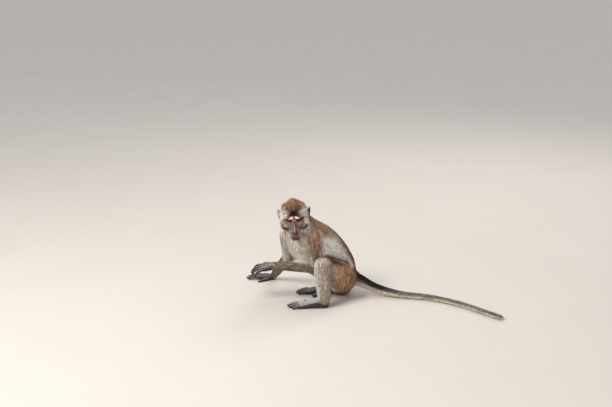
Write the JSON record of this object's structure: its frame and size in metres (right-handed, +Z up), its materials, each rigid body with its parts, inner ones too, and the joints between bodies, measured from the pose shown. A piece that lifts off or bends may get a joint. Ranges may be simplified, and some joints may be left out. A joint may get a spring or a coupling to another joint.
{
  "type": "long-tailed macaque",
  "caption": "Life-size still model of a seated long-tailed macaque, its face turned to the side and its left hand held out.",
  "frame": {"origin": "middle of the base of the whole model's box, on the floor it sits on", "axes": "+Z up; +X towards the tip of the tail, with the body facing -X; -Y the way the face looks, on the animal's left side"},
  "size_m": [0.768, 0.4016, 0.3206],
  "materials": {
    "coat_crown": "short golden-brown fur streaked with black",
    "coat_body": "grey-brown fur, paler on the flank and cream on the chest",
    "coat_limb": "grizzled grey-brown fur, short on the forearms and shanks",
    "coat_tail": "very short dark grey fur, paler underneath",
    "bare_skin": "bare, finely wrinkled grey skin",
    "eye": "wet, glossy, amber-brown"
  },
  "bodies": {
    "root": {"head": "coat_crown", "eye_left": "eye", "eye_right": "eye", "ear_left": "bare_skin", "ear_right": "bare_skin", "neck": "coat_body", "chest": "coat_body", "belly": "coat_body", "rump": "coat_body", "tail_root": "coat_tail", "tail_upper": "coat_tail", "tail_middle": "coat_tail", "tail_tip": "coat_tail", "upper_arm_left": "coat_limb", "upper_arm_right": "coat_limb", "forearm_left": "coat_limb", "forearm_right": "coat_limb", "thigh_left": "coat_limb", "thigh_right": "coat_limb", "shank_left": "coat_limb", "shank_right": "coat_limb", "hand_left": "bare_skin", "hand_right": "bare_skin", "foot_left": "bare_skin", "foot_right": "bare_skin", "finger_first_left": "bare_skin", "finger_second_left": "bare_skin", "finger_third_left": "bare_skin", "finger_fourth_left": "bare_skin", "finger_fifth_left": "bare_skin", "finger_first_right": "bare_skin", "finger_second_right": "bare_skin", "finger_third_right": "bare_skin", "finger_fourth_right": "bare_skin", "finger_fifth_right": "bare_skin", "toe_first_left": "bare_skin", "toe_second_left": "bare_skin", "toe_third_left": "bare_skin", "toe_fourth_left": "bare_skin", "toe_fifth_left": "bare_skin", "toe_first_right": "bare_skin", "toe_second_right": "bare_skin", "toe_third_right": "bare_skin", "toe_fourth_right": "bare_skin", "toe_fifth_right": "bare_skin"}
  },
  "joints": []
}
